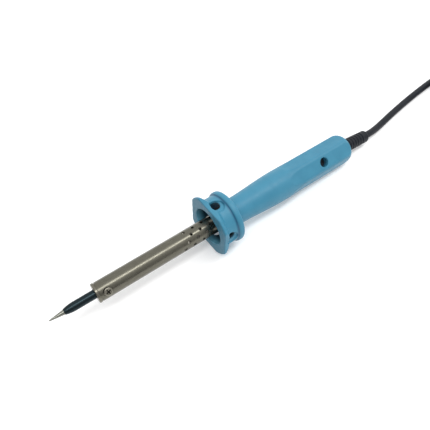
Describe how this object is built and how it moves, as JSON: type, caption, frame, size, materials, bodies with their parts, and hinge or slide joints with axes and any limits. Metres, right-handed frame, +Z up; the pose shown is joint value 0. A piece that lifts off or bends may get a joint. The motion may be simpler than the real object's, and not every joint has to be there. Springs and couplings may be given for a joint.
{
  "type": "soldering_iron",
  "caption": "Mains pencil soldering iron with a light blue one-piece handle, a perforated steel barrel, a black conical tip, a ribbed cord boot, and its lead coiled behind it with a flat plug.",
  "frame": {"origin": "middle of the iron's bounding box on the surface it lies on, lead and plug not counted; the iron lies on its rear flange and on the rear end of its grip", "axes": "+X along the iron from the tip towards the lead, +Z up, +Y to the left of the lead's end seen from the tip"},
  "size_m": [0.455, 0.0478, 0.0337],
  "materials": {
    "handle_plastic": "light blue moulded plastic, satin gloss",
    "barrel_steel": "drawn steel tube with a dull grey-olive plating",
    "inner_steel": "plain dull steel",
    "screw_steel": "turned and plated steel",
    "tip_plating": "dark oxide on the shank, bright plated point",
    "mica": "cream mica sheet",
    "ceramic": "unglazed ceramic",
    "sleeving": "white woven glass sleeving",
    "block_plastic": "natural moulded plastic",
    "terminal_brass": "turned brass",
    "core_insulation": "coloured core insulation",
    "cord_rubber": "black flexible sheath, slightly shiny",
    "tie_plastic": "black flat tie",
    "plug_plastic": "black moulded plastic, fine grain",
    "pin_nickel": "nickel-plated brass"
  },
  "bodies": {
    "iron": {"handle": "handle_plastic", "barrel": "barrel_steel", "barrel_flange": "inner_steel", "flange_screws": "screw_steel", "nose_bush": "barrel_steel", "heater_tube": "inner_steel", "mica_inner": "mica", "heater_winding": "inner_steel", "mica_outer": "mica", "heater_jacket": "inner_steel", "ceramic_bead": "ceramic", "heater_leads": "inner_steel", "lead_sleeves": "sleeving", "terminal_block": "block_plastic", "terminal_tubes": "terminal_brass", "terminal_screws": "screw_steel", "cord_cores": "core_insulation", "cord_inner": "cord_rubber", "cord_clamp": "block_plastic", "clamp_saddle": "inner_steel", "clamp_screw": "screw_steel", "cord_boot": "cord_rubber", "cord_lead": "cord_rubber", "cord_hank": "cord_rubber", "cord_tail": "cord_rubber", "cord_tie": "tie_plastic", "plug_body": "plug_plastic", "plug_pins": "pin_nickel", "plug_sleeves": "plug_plastic"},
    "tip": {"tip": "tip_plating"},
    "tip_screw": {"tip_screw": "screw_steel"}
  },
  "joints": [
    {"name": "tip_slide", "type": "slide", "parent": "iron", "child": "tip", "axis": [-0.9978, 0, 0.066], "range_m": [0, 0.04]},
    {"name": "tip_screw_turn", "type": "hinge", "parent": "iron", "child": "tip_screw", "pos_m": [-0.08607, -0.00647, 0.02655], "axis": [0.0388, -0.809, 0.5865], "range_deg": [0, 720]}
  ]
}
